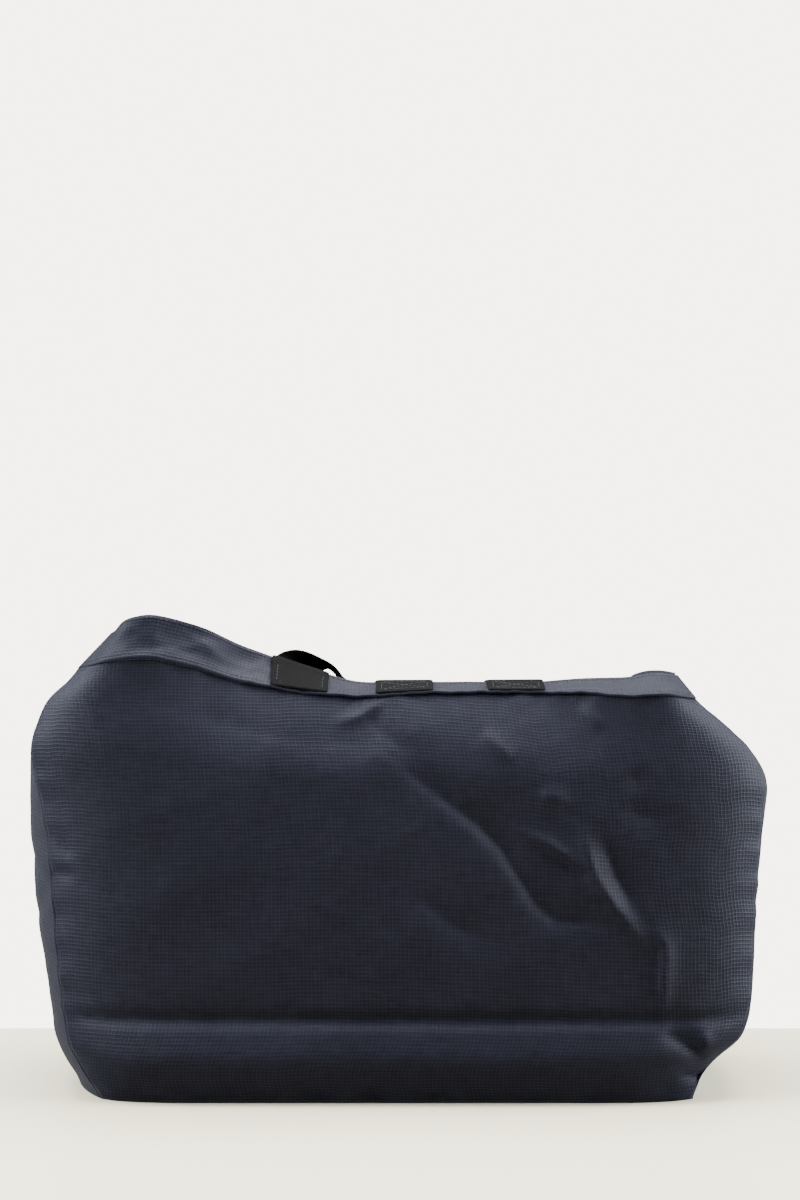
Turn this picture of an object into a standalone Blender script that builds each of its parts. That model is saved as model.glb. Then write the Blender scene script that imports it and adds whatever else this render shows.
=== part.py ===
"""Foldable tote bag standing open on its base, handles and closing tabs hanging inside the mouth.

Metres, +Z up, mouth upwards, front of the bag towards -Y. The cloth panels are thin shells laid out from a few
height-by-height outlines, so every neighbour takes its edge from the same outline.
"""

from math import cos, pi, sin

import bmesh
import bpy
import numpy as np
from mathutils import Vector

# Overall sizes
BELLY_WIDTH = 0.500
BAG_DEPTH = 0.200
SEAM_HEIGHT = 0.265
HEM_HEIGHT = 0.030

# Cloth, webbing and gaps
CLOTH = 0.0012
HEM_CLOTH = 0.0018
WEBBING = 0.0016
WEBBING_WIDTH = 0.038
BINDING = 0.0018
BINDING_WIDTH = 0.008
GAP = 0.0003
WEBBING_STANDOFF = 0.0016
STRAP_ARCH = 0.0045
SEAM_GAP = 0.0011
HEM_CORNER_GAP = 0.0016

# Soft corners, slump and creases of the walls
CORNER_DEPTH = 0.022
CORNER_POWER = 9.0
FRONT_LEAN = 0.025
BACK_LEAN = 0.035
TOE = 0.010
CREASE_HEIGHT = 0.054
CREASE_DEPTH = 0.006

# Handles and closing tabs
HANDLE_SPACING = 0.144
HANDLE_DROP = 0.108
HINGE_RISE = 0.010
HINGE_INSET = 0.009
STRAP_OFFSET = 0.0022
TAB_LENGTH = 0.060
SNAP_DROP = 0.044
SNAP_RADIUS = 0.0065

HALF = BELLY_WIDTH / 2
FRONT_Y = -BAG_DEPTH / 2
BACK_Y = BAG_DEPTH / 2

# Outlines: height as a share of the seam height, then half widths as shares of half the belly
OUTLINE_HEIGHT = (0.0, 0.08, 0.125, 0.17, 0.30, 0.42, 0.62, 0.80, 0.88, 0.95, 1.0)
LEFT_SEAM = (0.776, 0.842, 0.868, 0.879, 0.898, 0.906, 0.922, 0.956, 0.948, 0.900, 0.820)
LEFT_BULGE = (0.788, 0.851, 0.907, 0.910, 0.932, 0.950, 0.980, 1.000, 0.978, 0.900, 0.770)
RIGHT_SEAM = (0.760, 0.790, 0.862, 0.905, 0.918, 0.924, 0.938, 0.952, 0.910, 0.826, 0.752)
RIGHT_BULGE = (0.783, 0.800, 0.890, 0.945, 0.954, 0.956, 0.970, 1.000, 0.946, 0.820, 0.700)

# Hem line: place across the mouth, seam height share, upward share of the hem's direction, sideways share
FRONT_PLACE = (-1.0, -0.90, -0.79, -0.70, -0.60, -0.51, -0.43, -0.28, -0.10, 0.10, 0.50, 0.66, 0.80, 0.90, 1.0)
FRONT_SEAM = (1.060, 1.080, 1.088, 1.076, 1.058, 1.034, 1.022, 1.000, 0.990, 1.0, 1.0, 1.0, 0.994, 1.0, 0.988)
FRONT_RISE = (0.70, 0.92, 0.97, 0.96, 0.92, 0.76, 0.66, 0.48, 0.24, 0.16, 0.16, 0.26, 0.34, 0.40, 0.44)
FRONT_SIDE = (0.70, 0.30, 0.08, 0.0, 0.0, 0.0, 0.0, 0.0, 0.0, 0.0, 0.0, 0.0, 0.0, -0.10, -0.30)
BACK_PLACE = (-1.0, -0.80, -0.45, 0.0, 0.45, 0.72, 0.86, 1.0)
BACK_SEAM = (1.000, 0.990, 0.935, 0.918, 0.930, 0.945, 0.962, 0.960)
BACK_RISE = (0.70, 0.80, 0.42, 0.35, 0.38, 0.80, 0.92, 0.70)
BACK_SIDE = (0.55, 0.20, 0.0, 0.0, 0.0, 0.0, -0.20, -0.50)

NAVY = (0.030, 0.034, 0.050)
NAVY_HEM = (0.026, 0.030, 0.044)
BLACK = (0.012, 0.011, 0.011)
TAPE = (0.018, 0.019, 0.024)
GUNMETAL = (0.16, 0.16, 0.17)

for old in list(bpy.data.objects):
    bpy.data.objects.remove(old, do_unlink=True)

bag = bpy.data.collections.new("foldable_tote_bag")
bpy.context.scene.collection.children.link(bag)


def material(name, colour, roughness, metallic=0.0):
    """A named Principled material."""
    made = bpy.data.materials.new(name)
    made.use_nodes = True
    shader = made.node_tree.nodes["Principled BSDF"]
    shader.inputs["Base Color"].default_value = (*colour, 1.0)
    shader.inputs["Roughness"].default_value = roughness
    shader.inputs["Metallic"].default_value = metallic
    return made


def add_object(name, shape, colour, roughness, metallic=0.0):
    """Turns a finished bmesh into a named object of the bag."""
    mesh = bpy.data.meshes.new(name)
    shape.to_mesh(mesh)
    shape.free()
    made = bpy.data.objects.new(name, mesh)
    made.data.materials.append(material(name, colour, roughness, metallic))
    bag.objects.link(made)
    return made


def add_cloth(name, place, columns, rows, thickness, colour, roughness=0.75):
    """A grid laid out by place(across, up) and given a thickness about its middle."""
    shape = bmesh.new()
    bmesh.ops.create_grid(shape, x_segments=len(columns) - 1, y_segments=len(rows) - 1, size=1.0)
    for corner in shape.verts:
        column = round((corner.co.x + 1) / 2 * (len(columns) - 1))
        row = round((corner.co.y + 1) / 2 * (len(rows) - 1))
        corner.co = Vector(place(columns[column], rows[row]))
    made = add_object(name, shape, colour, roughness)
    shell = made.modifiers.new("thickness", "SOLIDIFY")
    shell.thickness = thickness
    shell.offset = 0.0
    shell.use_even_offset = False
    return made


def smooth_table(at, places, values):
    """The table's value, eased a little between stations."""
    spread = 0.02
    near = [np.interp(at + step * spread, places, values) for step in (-1.5, -0.5, 0.5, 1.5)]
    return float(np.mean(near))


def from_table(share, values):
    return smooth_table(share, OUTLINE_HEIGHT, values) * HALF


def ease(value):
    value = min(max(value, 0.0), 1.0)
    return value * value * (3 - 2 * value)


def crease(height):
    """How far the wall is drawn in at this height: a tuck above a rolled-out lower band."""
    tuck = CREASE_DEPTH * np.exp(-(((height - CREASE_HEIGHT) / 0.007) ** 2))
    roll = 0.004 * np.exp(-(((height - CREASE_HEIGHT / 2) / 0.014) ** 2))
    toe = TOE * max(0.0, 1 - height / (CREASE_HEIGHT / 2)) ** 2
    return tuck - roll + toe


def wall_point(side, across, up):
    """A point of the front (side -1) or back (side 1) wall; across and up run over the whole panel."""
    places, seams = (FRONT_PLACE, FRONT_SEAM) if side < 0 else (BACK_PLACE, BACK_SEAM)
    top = SEAM_HEIGHT * smooth_table(across, places, seams)
    height = up * top
    left = -from_table(up, LEFT_SEAM)
    right = from_table(up, RIGHT_SEAM)
    x = left + (right - left) * (across + 1) / 2
    edge = abs(across) ** CORNER_POWER
    middle = 1 - across**6
    lean = (FRONT_LEAN if side < 0 else BACK_LEAN) * max(0.0, (up - 0.35) / 0.65) ** 2
    fade = ease((1 - abs(across)) / 0.55)
    inward = CORNER_DEPTH * edge + crease(height) * middle
    wall = FRONT_Y if side < 0 else BACK_Y
    return np.array((x, wall - side * inward + lean * fade, height))


def hem_direction(side, across):
    places = FRONT_PLACE if side < 0 else BACK_PLACE
    rise = smooth_table(across, places, FRONT_RISE if side < 0 else BACK_RISE)
    slip = smooth_table(across, places, FRONT_SIDE if side < 0 else BACK_SIDE)
    level = max(0.05, 1 - rise * rise - slip * slip) ** 0.5
    direction = np.array((slip, -side * level, rise))
    return direction / np.linalg.norm(direction)


def hem_point(side, across, up):
    """A point of the front or back hem band, up from its seam to the rim."""
    start = wall_point(side, across, 1.0)
    return start + hem_direction(side, across) * (SEAM_GAP + up * (HEM_HEIGHT - SEAM_GAP))


def gusset_point(side, back, up):
    """A point of the left (side -1) or right (side 1) gusset; back runs from its front seam to its back seam."""
    front_edge = wall_point(-1, side, up)
    back_edge = wall_point(1, side, up)
    front_edge[1] += SEAM_GAP
    back_edge[1] -= SEAM_GAP
    share = (back + 1) / 2
    point = front_edge + (back_edge - front_edge) * share
    seam = from_table(up, LEFT_SEAM if side < 0 else RIGHT_SEAM)
    bulge = from_table(up, LEFT_BULGE if side < 0 else RIGHT_BULGE)
    point[0] += side * (bulge - seam) * (1 - back * back)
    return point


def side_hem_point(side, back, up):
    """A point of a side hem band, whose ends follow the front and back hems."""
    inner = -1 + HEM_CORNER_GAP / BAG_DEPTH * 2
    start = gusset_point(side, back * -inner, 1.0)
    share = (back + 1) / 2
    direction = hem_direction(-1, side) * (1 - share) + hem_direction(1, side) * share
    direction = direction / np.linalg.norm(direction)
    return start + direction * (SEAM_GAP + up * (HEM_HEIGHT - SEAM_GAP))


def across_stations(count):
    """Stations from -1 to 1, closer together towards the soft corners."""
    even = np.linspace(-1, 1, count)
    return np.sign(even) * (1 - (1 - np.abs(even)) ** 1.35)


WALL_COLUMNS = across_stations(29)
WALL_ROWS = (0.0, 0.03, 0.06, 0.10, 0.135, 0.17, 0.19, 0.205, 0.22, 0.25, 0.32, 0.42, 0.53, 0.64, 0.74, 0.82, 0.89, 0.95, 1.0)
HEM_ROWS = (0.0, 0.33, 0.67, 1.0)
GUSSET_COLUMNS = np.linspace(-1, 1, 9)

# Walls, gussets and base
add_cloth("front_panel", lambda a, u: wall_point(-1, a, u), WALL_COLUMNS, WALL_ROWS, CLOTH, NAVY)
add_cloth("back_panel", lambda a, u: wall_point(1, -a, u), WALL_COLUMNS, WALL_ROWS, CLOTH, NAVY)
add_cloth("left_gusset", lambda a, u: gusset_point(-1, -a, u), GUSSET_COLUMNS, WALL_ROWS, CLOTH, NAVY)
add_cloth("right_gusset", lambda a, u: gusset_point(1, a, u), GUSSET_COLUMNS, WALL_ROWS, CLOTH, NAVY)


def base_point(across, back):
    """A point of the base, which sits just inside the lower edges of the walls and gussets."""
    inset = CLOTH + GAP + 0.0008
    left = gusset_point(-1, back, 0.0)[0] + inset
    right = gusset_point(1, back, 0.0)[0] - inset
    front = wall_point(-1, across, 0.0)[1] + inset
    rear = wall_point(1, across, 0.0)[1] - inset
    return (left + (right - left) * (across + 1) / 2, front + (rear - front) * (back + 1) / 2, CLOTH / 2)


add_cloth("base_panel", base_point, WALL_COLUMNS[::2], GUSSET_COLUMNS, CLOTH, NAVY)

# Hem bands round the mouth
add_cloth("front_hem_band", lambda a, u: hem_point(-1, a, u), WALL_COLUMNS, HEM_ROWS, HEM_CLOTH, NAVY_HEM)
add_cloth("back_hem_band", lambda a, u: hem_point(1, -a, u), WALL_COLUMNS, HEM_ROWS, HEM_CLOTH, NAVY_HEM)
add_cloth("left_hem_band", lambda a, u: side_hem_point(-1, -a, u), GUSSET_COLUMNS, HEM_ROWS, HEM_CLOTH, NAVY_HEM)
add_cloth("right_hem_band", lambda a, u: side_hem_point(1, a, u), GUSSET_COLUMNS, HEM_ROWS, HEM_CLOTH, NAVY_HEM)

# Bindings folded over the raw seam edges inside the bag
BINDING_CLEAR = 0.0036
BINDING_ROWS = [row for row in WALL_ROWS if 0.05 < row < 0.97]


def upright_binding_point(wall, side, out, up):
    """A fin of tape along one upright seam, pointing at the middle of the bag."""
    edge = wall_point(wall, side, up)
    edge[1] -= wall * SEAM_GAP / 2
    inward = np.array((-side * 0.75, -wall * 0.66, 0.0))
    return edge + inward * (BINDING_CLEAR + out * BINDING_WIDTH)


for binding, wall, side in (
    ("front_left_binding", -1, -1),
    ("front_right_binding", -1, 1),
    ("back_left_binding", 1, -1),
    ("back_right_binding", 1, 1),
):
    turn = 1 if wall * side > 0 else -1
    add_cloth(
        binding,
        lambda o, u, w=wall, s=side: upright_binding_point(w, s, o, u),
        (0.0, 0.5, 1.0)[::turn],
        BINDING_ROWS,
        BINDING,
        TAPE,
    )

BASE_BINDING_REACH = 0.86
for binding, wall in (("front_base_binding", -1), ("back_base_binding", 1)):

    def base_binding_point(across, up, wall=wall):
        """A fin of tape leaning inwards along a long base seam."""
        edge = wall_point(wall, across * BASE_BINDING_REACH, 0.0)
        lift = CLOTH + GAP + BINDING / 2 + up * BINDING_WIDTH
        return (edge[0], edge[1] - wall * (BINDING + 0.0006 + up * BINDING_WIDTH * 0.5), lift)

    add_cloth(binding, base_binding_point, WALL_COLUMNS[::2][:: -wall], (0.0, 0.5, 1.0), BINDING, TAPE)


# Webbing: sewn ends over the hem, then straps that hang from a hinge line just inside the rim
def hinge_place(side, centres):
    """Where a strap starts to swing: inside the rim and a little above it."""
    rims = [hem_point(side, across_at(side, centre), 1.0) for centre in centres]
    y = np.mean([rim[1] for rim in rims]) - side * HINGE_INSET
    z = np.mean([rim[2] for rim in rims]) + HINGE_RISE
    return float(y), float(z)


def across_at(side, x):
    """The share across the wall's top at which it has this x."""
    left = wall_point(side, -1.0, 1.0)[0]
    right = wall_point(side, 1.0, 1.0)[0]
    return (x - left) / (right - left) * 2 - 1


def hem_outward(side, share, up):
    """The direction that faces away from the hem's outer side here."""
    step = 0.03
    along = hem_point(side, share + step, up) - hem_point(side, share - step, up)
    outward = np.cross(along, hem_direction(side, share))
    outward = outward / np.linalg.norm(outward)
    return outward if outward[1] * side > 0 else -outward


def sewn_end_point(side, centre, hinge, across, along):
    """Webbing stitched to the outside of the hem; past 1 it rises from the rim to the hinge line."""
    x = centre + across * WEBBING_WIDTH / 2
    share = across_at(side, x)
    up = min(along, 1.0) * 0.98 + 0.02
    outward = hem_outward(side, share, up)
    lift = HEM_CLOTH / 2 + WEBBING_STANDOFF + WEBBING / 2
    point = hem_point(side, share, up) + outward * lift
    if along > 1.0:
        goal = np.array((x, hinge[0] + side * STRAP_OFFSET, hinge[1] - 0.0028))
        share = along - 1.0
        point = point + (goal - point) * share + outward * STRAP_ARCH * sin(pi * share)
    point[0] = x
    return point


HALF_WEBBING = (-1.0, -0.5, 0.0, 0.5, 1.0)
END_ROWS = (0.0, 0.35, 0.7, 0.98, 1.25, 1.5, 1.75, 2.0)
HANDLE_CENTRES = (-HANDLE_SPACING / 2, HANDLE_SPACING / 2)


def add_sewn_end(name, side, centre, hinge):
    add_cloth(
        name,
        lambda a, u: sewn_end_point(side, centre, hinge, -side * a, u),
        HALF_WEBBING,
        END_ROWS,
        WEBBING,
        BLACK,
        0.85,
    )


def handle_point(side, hinge, across, along):
    """The hanging handle: a leg, a half turn and a leg, all in one upright plane."""
    radius = HANDLE_SPACING / 2
    leg = HANDLE_DROP - radius
    offset = across * WEBBING_WIDTH / 2
    y = hinge[0] - side * STRAP_OFFSET
    top = hinge[1] - 0.0010
    if along < 1:
        return (-radius - offset, y, top - leg * along)
    if along > 2:
        return (radius + offset, y, top - leg * (3 - along))
    angle = pi + pi * (along - 1)
    reach = radius + offset
    return (reach * cos(angle), y, top - leg + reach * sin(angle))


HANDLE_ROWS = (0.0, 0.5, *np.linspace(1.0, 2.0, 19), 2.5, 3.0)
TAB_ROWS = (0.0, 0.35, 0.7, 1.0)


def tab_point(side, hinge, across, along):
    """A short tab hanging from the rim."""
    y = hinge[0] - side * STRAP_OFFSET
    return (across * WEBBING_WIDTH / 2, y, hinge[1] - 0.0010 - along * TAB_LENGTH)


def set_origin(thing, at):
    """Moves an object's origin to a point and leaves its shape where it is."""
    place = Vector(at)
    for corner in thing.data.vertices:
        corner.co -= place
    thing.location = place


for label, side in (("front", -1), ("back", 1)):
    handle_hinge = hinge_place(side, HANDLE_CENTRES)
    add_sewn_end(f"{label}_handle_end_left", side, HANDLE_CENTRES[0], handle_hinge)
    add_sewn_end(f"{label}_handle_end_right", side, HANDLE_CENTRES[1], handle_hinge)
    handle = add_cloth(
        f"{label}_handle",
        lambda a, u, s=side, h=handle_hinge: handle_point(s, h, s * a, u),
        (-1.0, 0.0, 1.0),
        HANDLE_ROWS,
        WEBBING,
        BLACK,
        0.85,
    )
    set_origin(handle, (0.0, *handle_hinge))
    tab_hinge = hinge_place(side, (0.0,))
    add_sewn_end(f"{label}_tab_end", side, 0.0, tab_hinge)
    tab = add_cloth(
        f"{label}_tab",
        lambda a, u, s=side, h=tab_hinge: tab_point(s, h, s * a, u),
        (-1.0, -0.4, 0.4, 1.0),
        TAB_ROWS,
        WEBBING,
        BLACK,
        0.85,
    )
    set_origin(tab, (0.0, *tab_hinge))


# Press stud halves on the two tabs
def add_turned(name, profile, centre, towards, colour, roughness, metallic):
    """A small turned part: (radius, distance) pairs spun about a line along Y."""
    shape = bmesh.new()
    corners = [shape.verts.new((radius, 0.0, reach)) for radius, reach in profile]
    for low, high in zip(corners[:-1], corners[1:]):
        shape.edges.new((low, high))
    made = add_object(name, shape, colour, roughness, metallic)
    spin = made.modifiers.new("spin", "SCREW")
    spin.steps = 24
    spin.render_steps = 24
    spin.use_merge_vertices = True
    spin.merge_threshold = 0.00005
    spin.use_normal_calculate = True
    made.rotation_euler = (-towards * pi / 2, 0.0, 0.0)
    made.location = centre
    return made


tab_face = WEBBING / 2 + GAP
cap = ((0.0, 0.0), (SNAP_RADIUS, 0.0), (SNAP_RADIUS, 0.0006), (SNAP_RADIUS * 0.75, 0.0014), (0.0, 0.0018))
socket = (
    (0.0, 0.0),
    (SNAP_RADIUS, 0.0),
    (SNAP_RADIUS, 0.0022),
    (SNAP_RADIUS * 0.62, 0.0026),
    (SNAP_RADIUS * 0.40, 0.0026),
    (SNAP_RADIUS * 0.34, 0.0008),
    (0.0, 0.0008),
)
stud = (
    (0.0, 0.0),
    (SNAP_RADIUS, 0.0),
    (SNAP_RADIUS, 0.0008),
    (SNAP_RADIUS * 0.34, 0.0012),
    (SNAP_RADIUS * 0.28, 0.0022),
    (SNAP_RADIUS * 0.32, 0.0028),
    (SNAP_RADIUS * 0.22, 0.0034),
    (0.0, 0.0036),
)
for label, side, pieces in (
    ("front", -1, (("snap_cap", cap, 1), ("snap_socket", socket, -1))),
    ("back", 1, (("snap_stud", stud, 1), ("snap_post", cap, -1))),
):
    y, z = hinge_place(side, (0.0,))
    for name, profile, facing in pieces:
        towards = side * facing * (1 if label == "front" else -1)
        middle = y - side * STRAP_OFFSET
        place = (0.0, middle + towards * tab_face, z - 0.0010 - SNAP_DROP)
        add_turned(name, profile, place, towards, GUNMETAL, 0.35, 1.0)


# The origin is on the floor under the middle of the whole bag
def middle_of(things):
    """The middle of the box round the finished solids, on the floor."""
    graph = bpy.context.evaluated_depsgraph_get()
    corners = []
    for thing in things:
        solid = thing.evaluated_get(graph)
        mesh = solid.to_mesh()
        corners += [solid.matrix_world @ corner.co for corner in mesh.vertices]
        solid.to_mesh_clear()
    low = Vector(min(corner[axis] for corner in corners) for axis in range(3))
    high = Vector(max(corner[axis] for corner in corners) for axis in range(3))
    return Vector(((low.x + high.x) / 2, (low.y + high.y) / 2, low.z))


bpy.context.view_layer.update()
middle = middle_of(bag.objects)
for thing in bag.objects:
    thing.location -= middle
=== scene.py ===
"""A foldable tote bag of navy ripstop cloth with black webbing handles, standing open on a pale table."""

import bpy
import numpy as np
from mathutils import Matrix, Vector


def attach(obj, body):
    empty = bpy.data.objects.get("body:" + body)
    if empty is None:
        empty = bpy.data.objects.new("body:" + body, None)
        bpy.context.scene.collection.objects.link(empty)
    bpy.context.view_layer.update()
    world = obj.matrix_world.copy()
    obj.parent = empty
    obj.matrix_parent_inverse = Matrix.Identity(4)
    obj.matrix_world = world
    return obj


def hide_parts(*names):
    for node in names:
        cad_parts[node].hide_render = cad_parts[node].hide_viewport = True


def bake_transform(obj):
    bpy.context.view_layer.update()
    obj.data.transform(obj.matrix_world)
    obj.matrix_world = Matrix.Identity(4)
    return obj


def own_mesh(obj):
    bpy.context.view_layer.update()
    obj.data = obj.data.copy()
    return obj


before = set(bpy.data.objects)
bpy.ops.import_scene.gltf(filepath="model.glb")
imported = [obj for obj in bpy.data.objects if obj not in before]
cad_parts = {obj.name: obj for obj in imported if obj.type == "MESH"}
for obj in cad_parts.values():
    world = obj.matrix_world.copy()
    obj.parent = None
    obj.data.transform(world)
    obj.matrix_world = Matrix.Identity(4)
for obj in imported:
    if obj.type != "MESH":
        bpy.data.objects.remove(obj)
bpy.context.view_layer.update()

# --------------------------------------------------------------------------------------------------
# Camera, lights and table: a level view of the front from a metre and a half away, broad soft light
# from both sides and from above, and a glossy off-white table that ends just behind the bag.
VIEW_HEIGHT = 0.326
FRONT_PLANE = -0.1155
VIEW_DISTANCE = 1.5
TABLE_EDGE = 0.158

view_data = bpy.data.cameras.new("front_view")
view_data.lens = 69.9
view_data.clip_end = 60
view = bpy.data.objects.new("front_view", view_data)
view.location = (0.0, FRONT_PLANE - VIEW_DISTANCE, VIEW_HEIGHT)
view.rotation_euler = (np.pi / 2, 0, 0)
bpy.context.scene.collection.objects.link(view)
bpy.context.scene.camera = view


def soft_light(name, place, aim, size, power, colour):
    """A rectangular soft light at a place, aimed at a point."""
    data = bpy.data.lights.new(name, "AREA")
    data.shape = "RECTANGLE"
    data.size, data.size_y = size
    data.energy = power
    data.color = colour
    made = bpy.data.objects.new(name, data)
    made.location = place
    made.rotation_euler = (Vector(aim) - Vector(place)).to_track_quat("-Z", "Y").to_euler()
    bpy.context.scene.collection.objects.link(made)


soft_light("left_window", (-1.25, -0.42, 0.95), (0, 0, 0.15), (1.0, 1.3), 86, (0.86, 0.92, 1.0))
soft_light("right_window", (1.30, -0.20, 0.65), (0, 0, 0.15), (1.0, 1.3), 76, (0.86, 0.92, 1.0))
soft_light("ceiling", (0.0, 0.20, 1.9), (0, 0, 0.1), (2.0, 1.4), 150, (0.96, 0.98, 1.0))


class Wire:
    """One output socket, on which arithmetic adds Math nodes."""

    def __init__(self, tree, socket):
        self.tree = tree
        self.socket = socket

    def math(self, operation, *others):
        made = self.tree.nodes.new("ShaderNodeMath")
        made.operation = operation
        for plug, value in zip(made.inputs, (self, *others)):
            if isinstance(value, Wire):
                self.tree.links.new(value.socket, plug)
            else:
                plug.default_value = value
        return Wire(self.tree, made.outputs[0])

    def __add__(self, other):
        return self.math("ADD", other)

    def __mul__(self, other):
        return self.math("MULTIPLY", other)

    def __sub__(self, other):
        return self.math("SUBTRACT", other)

    def __rsub__(self, other):
        return (self * -1.0) + other

    def __pow__(self, other):
        return self.math("POWER", other)

    __radd__ = __add__


class Finish:
    """A Principled material whose other nodes come from one method."""

    def __init__(self, name):
        self.material = bpy.data.materials.new(name)
        self.material.use_nodes = True
        self.tree = self.material.node_tree
        self.shader = self.tree.nodes["Principled BSDF"]

    def node(self, kind, settings=None, out=0, **sockets):
        """Adds a node, sets its settings first, then its sockets' values or links, and gives one output."""
        made = self.tree.nodes.new("ShaderNode" + kind)
        for key, value in (settings or {}).items():
            setattr(made, key, value)
        for key, value in sockets.items():
            numbered = key[0] == "i" and key[1:].isdigit()
            plug = made.inputs[int(key[1:]) if numbered else key.replace("_", " ")]
            if isinstance(value, Wire):
                self.tree.links.new(value.socket, plug)
            else:
                plug.default_value = value
        return Wire(self.tree, made.outputs[out])

    def other(self, wire, out):
        """Another output of the node that this wire comes from."""
        return Wire(self.tree, wire.socket.node.outputs[out])

    def feed(self, **sockets):
        """Links a wire to a shader socket, or sets a constant on it."""
        for key, value in sockets.items():
            plug = self.shader.inputs[key.replace("_", " ")]
            if isinstance(value, Wire):
                self.tree.links.new(value.socket, plug)
            else:
                plug.default_value = value

    def mix(self, share, low, high):
        """A colour between two colours."""
        return self.node("Mix", {"data_type": "RGBA"}, 2, i0=share, i6=low, i7=high)

    def noise(self, where, scale, detail=2.0, rough=0.5):
        return self.node("TexNoise", None, 0, Vector=where, Scale=scale, Detail=detail, Roughness=rough)


def flat_piece(name, low, high):
    """A plain rectangle on the floor, added as a primitive and stretched to its corners."""
    bpy.ops.object.select_all(action="DESELECT")
    bpy.ops.mesh.primitive_plane_add(size=1, location=(0, 0, 0))
    made = bpy.context.object
    made.name = name
    for corner in made.data.vertices:
        corner.co.x = low[0] if corner.co.x < 0 else high[0]
        corner.co.y = low[1] if corner.co.y < 0 else high[1]
    return made


table_finish = Finish("table_gloss")
table_finish.feed(Base_Color=(0.98, 0.87, 0.60, 1), Roughness=0.22, Coat_Weight=0.2, Coat_Roughness=0.1)
table_top = flat_piece("table_top", (-8, -8), (8, TABLE_EDGE))
table_top.data.materials.append(table_finish.material)
table_top.visible_glossy = False

PALE_WALL = (1.0, 0.955, 0.87, 1)
beyond_finish = Finish("beyond_table")
beyond_finish.feed(Base_Color=(0, 0, 0, 1), Roughness=1.0, Specular_IOR_Level=0.0)
beyond_finish.feed(Emission_Color=PALE_WALL, Emission_Strength=6.0)
beyond = flat_piece("beyond_table", (-8, TABLE_EDGE), (8, 16))
beyond.data.materials.append(beyond_finish.material)
beyond.visible_diffuse = beyond.visible_glossy = False

# The studio is white behind the bag and dark behind the viewer.
world = bpy.data.worlds.new("studio")
world.use_nodes = True
bpy.context.scene.world = world
sky = world.node_tree
shown = sky.nodes["Background"]
shown.inputs["Color"].default_value = PALE_WALL
shown.inputs["Strength"].default_value = 6.0
lighting = sky.nodes.new("ShaderNodeBackground")
lighting.inputs["Color"].default_value = (0.93, 0.97, 1.0, 1)
facing = sky.nodes.new("ShaderNodeSeparateXYZ")
sky.links.new(sky.nodes.new("ShaderNodeTexCoord").outputs["Generated"], facing.inputs[0])
darkness = sky.nodes.new("ShaderNodeMapRange")
darkness.interpolation_type = "SMOOTHSTEP"
for plug, value in (("From Min", -0.55), ("From Max", 0.45), ("To Min", 0.12), ("To Max", 0.55)):
    darkness.inputs[plug].default_value = value
sky.links.new(facing.outputs[1], darkness.inputs["Value"])
sky.links.new(darkness.outputs[0], lighting.inputs["Strength"])
chosen = sky.nodes.new("ShaderNodeMixShader")
sky.links.new(sky.nodes.new("ShaderNodeLightPath").outputs["Is Camera Ray"], chosen.inputs[0])
sky.links.new(lighting.outputs[0], chosen.inputs[1])
sky.links.new(shown.outputs[0], chosen.inputs[2])
sky.links.new(chosen.outputs[0], sky.nodes["World Output"].inputs[0])

# --------------------------------------------------------------------------------------------------
# Front wall: one panel of ripstop cloth, sewn to the gussets, the base and the hem. It stands
# almost upright, rolls out below a level crease near the floor, leans back under the hem and
# carries the creases it was folded along.
SHIFT = np.array((0.00044, -0.01548, 0.00035))
HALF_BELLY = 0.250
HALF_DEPTH = 0.100
SEAM_HEIGHT = 0.265
HEM_HEIGHT = 0.030
CLOTH = 0.0006
CORNER_DEPTH = 0.022
CREASE_HEIGHT = 0.0545
KNEE = 0.80

OUTLINE = (0.0, 0.08, 0.125, 0.17, 0.30, 0.42, 0.62, 0.80, 0.88, 0.95, 1.0)
LEFT_SEAM = (0.774, 0.842, 0.866, 0.876, 0.894, 0.904, 0.922, 0.968, 0.952, 0.900, 0.820)
LEFT_BULGE = (0.866, 0.932, 0.943, 0.951, 0.972, 0.996, 1.012, 1.004, 0.976, 0.900, 0.770)
RIGHT_SEAM = (0.760, 0.790, 0.862, 0.905, 0.918, 0.924, 0.938, 0.952, 0.910, 0.826, 0.752)
RIGHT_BULGE = (0.783, 0.800, 0.890, 0.945, 0.954, 0.956, 0.970, 1.000, 0.946, 0.820, 0.700)
HEM_TABLES = {
    -1: (
        (-1.0, -0.90, -0.79, -0.70, -0.60, -0.51, -0.43, -0.28, -0.10, 0.10, 0.50, 0.66, 0.80, 0.90, 1.0),
        (1.062, 1.083, 1.092, 1.080, 1.060, 1.034, 1.022, 1.000, 0.990, 1.0, 1.0, 1.0, 0.994, 1.0, 0.988),
        (0.70, 0.86, 0.90, 0.90, 0.87, 0.76, 0.66, 0.48, 0.24, 0.16, 0.16, 0.26, 0.34, 0.40, 0.44),
        (0.70, 0.30, 0.08, 0.0, 0.0, 0.0, 0.0, 0.0, 0.0, 0.0, 0.0, 0.0, 0.0, -0.10, -0.30),
    ),
    1: (
        (-1.0, -0.80, -0.45, 0.0, 0.45, 0.72, 0.82, 0.87, 0.94, 1.0),
        (1.000, 0.990, 0.935, 0.918, 0.918, 0.910, 0.920, 0.938, 0.940, 0.925),
        (0.70, 0.80, 0.42, 0.35, 0.36, 0.40, 0.50, 0.64, 0.88, 0.93),
        (0.70, 0.24, 0.0, 0.0, 0.0, 0.0, 0.0, 0.0, 0.04, 0.16),
    ),
}


def eased(at, places, values, spread=0.025):
    """A table's value with the corners at its stations rounded off."""
    near = [np.interp(at + step * spread, places, values) for step in np.linspace(-1.5, 1.5, 7)]
    return np.mean(near, axis=0)


def ease(value):
    value = np.clip(value, 0.0, 1.0)
    return value * value * (3 - 2 * value)


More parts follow.
